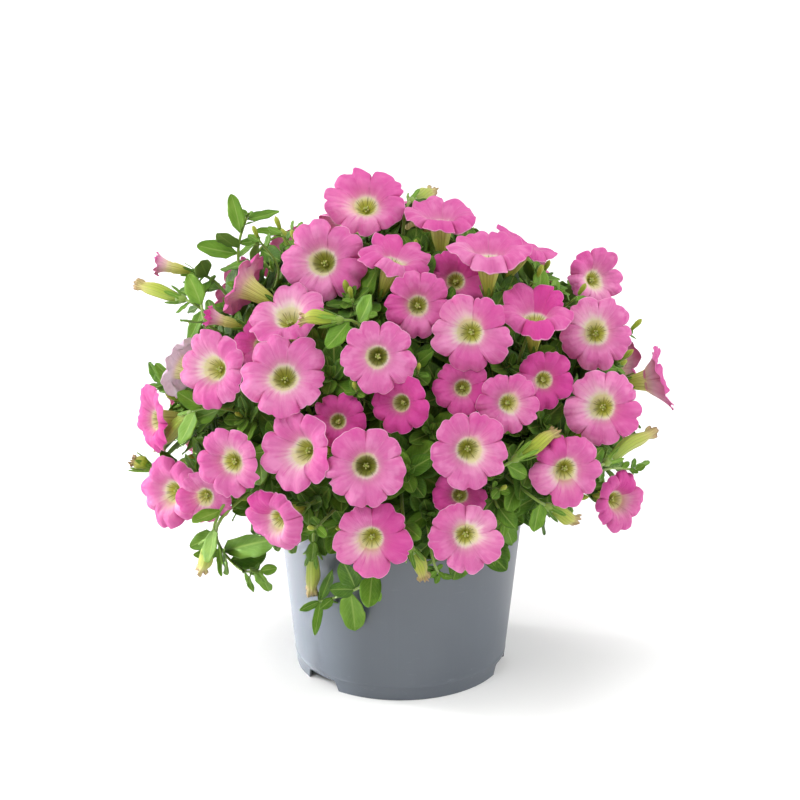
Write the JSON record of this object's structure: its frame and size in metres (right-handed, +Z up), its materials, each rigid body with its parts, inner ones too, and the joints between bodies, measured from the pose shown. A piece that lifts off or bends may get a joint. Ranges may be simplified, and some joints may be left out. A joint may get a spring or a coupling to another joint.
{
  "type": "potted petunia",
  "caption": "Bushy petunia in full pink flower, with trumpet blooms, leafy stems and hanging shoots, in a plain round tapered plastic nursery pot.",
  "frame": {"origin": "on the floor, at the middle of the pot's foot ring", "axes": "+Z up along the pot's axis, -Y towards the viewer of the picture, +X to the viewer's right"},
  "size_m": [0.402, 0.3812, 0.3907],
  "materials": {
    "pot": "satin blue-grey polypropylene",
    "soil": "moist dark peat, matte",
    "petal": "matte pink with a cream throat",
    "leaf": "matte green, finely hairy"
  },
  "bodies": {
    "root": {"bloom_01": "petal", "bloom_02": "petal", "bloom_03": "petal", "bloom_04": "petal", "bloom_05": "petal", "bloom_06": "petal", "bloom_07": "petal", "bloom_08": "petal", "bloom_09": "petal", "bloom_10": "petal", "bloom_11": "petal", "bloom_12": "petal", "bloom_13": "petal", "bloom_14": "petal", "bloom_15": "petal", "bloom_16": "petal", "bloom_17": "petal", "bloom_18": "petal", "bloom_19": "petal", "bloom_20": "petal", "bloom_21": "petal", "bloom_22": "petal", "bloom_23": "petal", "bloom_24": "petal", "bloom_25": "petal", "bloom_26": "petal", "bloom_27": "petal", "bloom_28": "petal", "bloom_29": "petal", "bloom_30": "petal", "bloom_31": "petal", "bloom_32": "petal", "bloom_33": "petal", "bloom_34": "petal", "bloom_35": "petal", "bloom_36": "petal", "bloom_37": "petal", "bloom_38": "petal", "bloom_39": "petal", "bloom_40": "petal", "bloom_41": "petal", "bloom_group_1": "petal", "bloom_group_2": "petal", "bloom_group_3": "petal", "bloom_group_4": "petal", "bloom_group_5": "petal", "bloom_group_6": "petal", "bloom_group_7": "petal", "bloom_group_8": "petal", "leafy_stem_back": "leaf", "leafy_stem_back_left": "leaf", "leafy_stem_back_right": "leaf", "leafy_stem_crown": "leaf", "leafy_stem_front": "leaf", "leafy_stem_front_left": "leaf", "leafy_stem_front_right": "leaf", "leafy_stem_left": "leaf", "leafy_stem_right": "leaf", "pot": "pot", "soil": "soil"}
  },
  "joints": []
}
